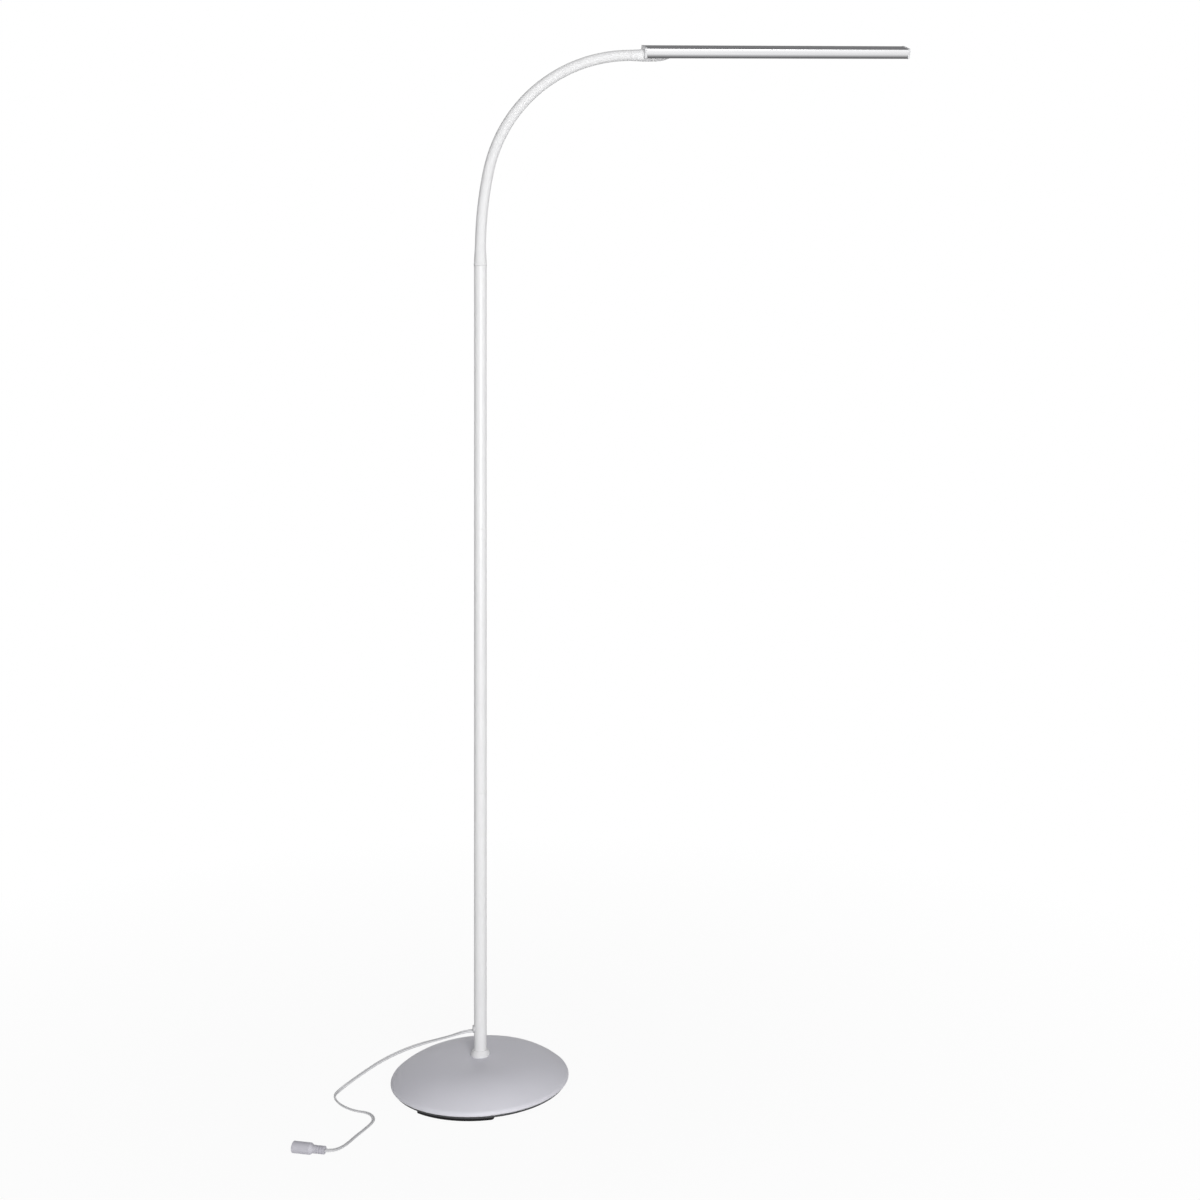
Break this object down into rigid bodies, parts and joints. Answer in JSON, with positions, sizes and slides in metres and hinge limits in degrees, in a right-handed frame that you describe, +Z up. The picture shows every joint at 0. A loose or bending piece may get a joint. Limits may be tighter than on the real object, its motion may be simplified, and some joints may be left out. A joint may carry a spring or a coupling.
{
  "type": "reading floor lamp",
  "caption": "Free-standing reading lamp: weighted dome foot, slim pole, bendable gooseneck and a slim light bar that rolls on its end, with a low-voltage flex and in-line socket.",
  "frame": {"origin": "on the floor under the pole's middle line, in the middle of the round foot", "axes": "+Z up along the pole, +X the way the gooseneck and the light bar reach out, +Y away from the viewer"},
  "size_m": [0.7451, 0.2575, 1.2659],
  "materials": {
    "silver_paint": "satin silver paint",
    "black_rubber": "matt rubber",
    "dark_steel": "dark painted sheet",
    "cast_iron": "rough casting",
    "plated_steel": "zinc plated",
    "white_paint": "semi-gloss white paint",
    "white_plastic": "white moulding",
    "grommet_plastic": "pale grey moulding",
    "wire_plastic": "white insulation",
    "bare_aluminium": "satin anodised",
    "cap_plastic": "pale grey moulding",
    "opal_plastic": "opal diffuser",
    "led_plastic": "phosphor",
    "board_laminate": "solder mask",
    "chip_plastic": "moulded chip",
    "contact_brass": "plain brass",
    "cord_plastic": "milky clear flex",
    "connector_plastic": "pale grey moulding"
  },
  "bodies": {
    "stand": {"base_cover": "silver_paint", "base_pad": "black_rubber", "base_plate": "dark_steel", "base_weight": "cast_iron", "base_spacer": "plated_steel", "base_washer": "plated_steel", "base_nut": "plated_steel", "base_screws": "plated_steel", "pole_stud": "plated_steel", "pole_foot_plug": "plated_steel", "pole_collar": "white_plastic", "pole_lower": "white_paint", "pole_middle": "white_paint", "pole_upper": "white_paint", "pole_coupler_lower": "plated_steel", "pole_coupler_upper": "plated_steel", "cord_grommet": "grommet_plastic", "pole_wire": "wire_plastic", "arm_ferrule": "white_paint", "power_cord": "cord_plastic", "connector_body": "connector_plastic", "connector_contact": "plated_steel", "connector_pin": "contact_brass"},
    "arm_link_01": {"arm_link_01": "white_paint"},
    "arm_link_02": {"arm_link_02": "white_paint"},
    "arm_link_03": {"arm_link_03": "white_paint"},
    "arm_link_04": {"arm_link_04": "white_paint"},
    "arm_link_05": {"arm_link_05": "white_paint"},
    "arm_link_06": {"arm_link_06": "white_paint"},
    "arm_link_07": {"arm_link_07": "white_paint"},
    "arm_link_08": {"arm_link_08": "white_paint"},
    "arm_link_09": {"arm_link_09": "white_paint"},
    "arm_link_10": {"arm_link_10": "white_paint"},
    "arm_link_11": {"arm_link_11": "white_paint"},
    "arm_link_12": {"arm_link_12": "white_paint"},
    "arm_link_13": {"arm_link_13": "white_paint"},
    "arm_link_14": {"arm_link_14": "white_paint"},
    "arm_link_15": {"arm_link_15": "white_paint"},
    "arm_end": {"arm_end": "white_paint", "swivel_clip": "plated_steel"},
    "light_bar": {"head_socket": "white_plastic", "head_screws": "plated_steel", "head_profile": "bare_aluminium", "inner_end_cap": "cap_plastic", "outer_end_cap": "cap_plastic", "mount_block": "bare_aluminium", "diffuser": "opal_plastic", "led_board": "bare_aluminium", "led_chips": "led_plastic", "dimmer_board": "board_laminate", "dimmer_chip": "chip_plastic", "touch_contact": "contact_brass", "head_wire": "wire_plastic"}
  },
  "joints": [
    {"name": "gooseneck_bend_1", "type": "hinge", "parent": "stand", "child": "arm_link_01", "pos_m": [0.00054, 0, 1.00791], "axis": [0, 1, 0], "range_deg": [-10.8, 11.25]},
    {"name": "gooseneck_sway_1", "type": "hinge", "parent": "arm_link_01", "child": "arm_link_02", "pos_m": [0.00485, 0, 1.05352], "axis": [0.99, 0, -0.141], "range_deg": [-7.5, 7.5]},
    {"name": "gooseneck_bend_2", "type": "hinge", "parent": "arm_link_02", "child": "arm_link_03", "pos_m": [0.01087, 0, 1.08675], "axis": [0, 1, 0], "range_deg": [-10.8, 11.25]},
    {"name": "gooseneck_sway_2", "type": "hinge", "parent": "arm_link_03", "child": "arm_link_04", "pos_m": [0.01579, 0, 1.10368], "axis": [0.946, 0, -0.3241], "range_deg": [-7.5, 7.5]},
    {"name": "gooseneck_bend_3", "type": "hinge", "parent": "arm_link_04", "child": "arm_link_05", "pos_m": [0.02228, 0, 1.12007], "axis": [0, 1, 0], "range_deg": [-10.8, 11.25]},
    {"name": "gooseneck_sway_3", "type": "hinge", "parent": "arm_link_05", "child": "arm_link_06", "pos_m": [0.03029, 0, 1.13578], "axis": [0.8685, 0, -0.4957], "range_deg": [-7.5, 7.5]},
    {"name": "gooseneck_bend_4", "type": "hinge", "parent": "arm_link_06", "child": "arm_link_07", "pos_m": [0.03974, 0, 1.15066], "axis": [0, 1, 0], "range_deg": [-10.8, 11.25]},
    {"name": "gooseneck_sway_4", "type": "hinge", "parent": "arm_link_07", "child": "arm_link_08", "pos_m": [0.05055, 0, 1.16458], "axis": [0.7601, 0, -0.6498], "range_deg": [-7.5, 7.5]},
    {"name": "gooseneck_bend_5", "type": "hinge", "parent": "arm_link_08", "child": "arm_link_09", "pos_m": [0.06262, 0, 1.17743], "axis": [0, 1, 0], "range_deg": [-10.8, 11.25]},
    {"name": "gooseneck_sway_5", "type": "hinge", "parent": "arm_link_09", "child": "arm_link_10", "pos_m": [0.07585, 0, 1.18908], "axis": [0.6248, 0, -0.7808], "range_deg": [-7.5, 7.5]},
    {"name": "gooseneck_bend_6", "type": "hinge", "parent": "arm_link_10", "child": "arm_link_11", "pos_m": [0.09012, 0, 1.19943], "axis": [0, 1, 0], "range_deg": [-10.8, 11.25]},
    {"name": "gooseneck_sway_6", "type": "hinge", "parent": "arm_link_11", "child": "arm_link_12", "pos_m": [0.10529, 0, 1.2084], "axis": [0.4674, 0, -0.8841], "range_deg": [-7.5, 7.5]},
    {"name": "gooseneck_bend_7", "type": "hinge", "parent": "arm_link_12", "child": "arm_link_13", "pos_m": [0.12125, 0, 1.21589], "axis": [0, 1, 0], "range_deg": [-10.8, 11.25]},
    {"name": "gooseneck_sway_7", "type": "hinge", "parent": "arm_link_13", "child": "arm_link_14", "pos_m": [0.13784, 0, 1.22185], "axis": [0.2933, 0, -0.956], "range_deg": [-7.5, 7.5]},
    {"name": "gooseneck_bend_8", "type": "hinge", "parent": "arm_link_14", "child": "arm_link_15", "pos_m": [0.15492, 0, 1.22622], "axis": [0, 1, 0], "range_deg": [-10.8, 11.25]},
    {"name": "gooseneck_sway_8", "type": "hinge", "parent": "arm_link_15", "child": "arm_end", "pos_m": [0.17233, 0, 1.22896], "axis": [0.1089, 0, -0.9941], "range_deg": [-7.5, 7.5]},
    {"name": "bar_roll", "type": "hinge", "parent": "arm_end", "child": "light_bar", "pos_m": [0.18111, 0, 1.22972], "axis": [0.9981, 0, 0.0619], "range_deg": [-116, 64]}
  ]
}
